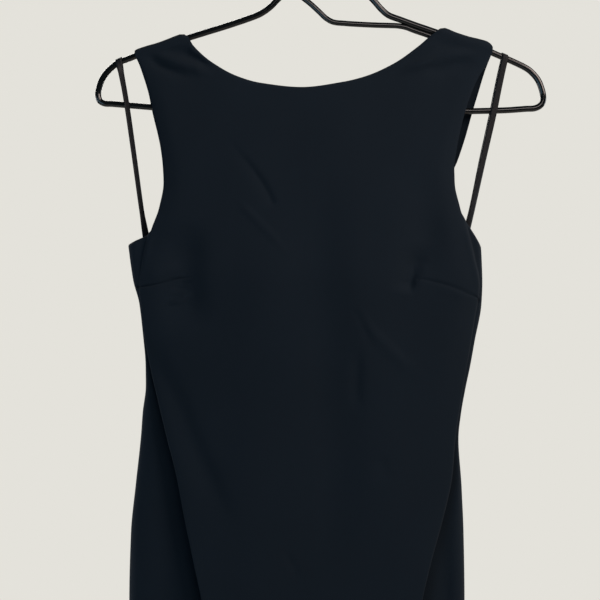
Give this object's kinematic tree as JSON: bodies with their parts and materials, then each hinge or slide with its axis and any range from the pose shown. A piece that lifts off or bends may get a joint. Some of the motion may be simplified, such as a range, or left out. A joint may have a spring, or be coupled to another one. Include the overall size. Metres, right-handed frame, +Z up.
{
  "type": "mermaid maxi dress on hanger",
  "caption": "Sleeveless black crepe maxi dress with a high round neck, low back and flared mermaid hem, hanging on a thin coated wire hanger.",
  "frame": {"origin": "inside top of the hanger's hook, where a rail, nail or door hook carries it", "axes": "+Z up, the dress's front faces -Y, +X to the right of somebody who faces the dress"},
  "size_m": [0.5676, 0.1834, 1.6356],
  "materials": {
    "crepe": "matte",
    "coated_wire": "gloss",
    "ribbon": "satin"
  },
  "bodies": {
    "root": {"front_panel": "crepe", "back_panel": "crepe", "hanger_hook": "coated_wire", "hanger_collar": "coated_wire", "hanger_arm_left": "coated_wire", "hanger_arm_right": "coated_wire", "hanger_brace": "coated_wire", "hanger_brace_end": "coated_wire", "hanger_loop_left": "coated_wire", "hanger_loop_right": "coated_wire", "hanger_bar": "coated_wire", "ribbon_left": "ribbon", "ribbon_right": "ribbon"}
  },
  "joints": []
}
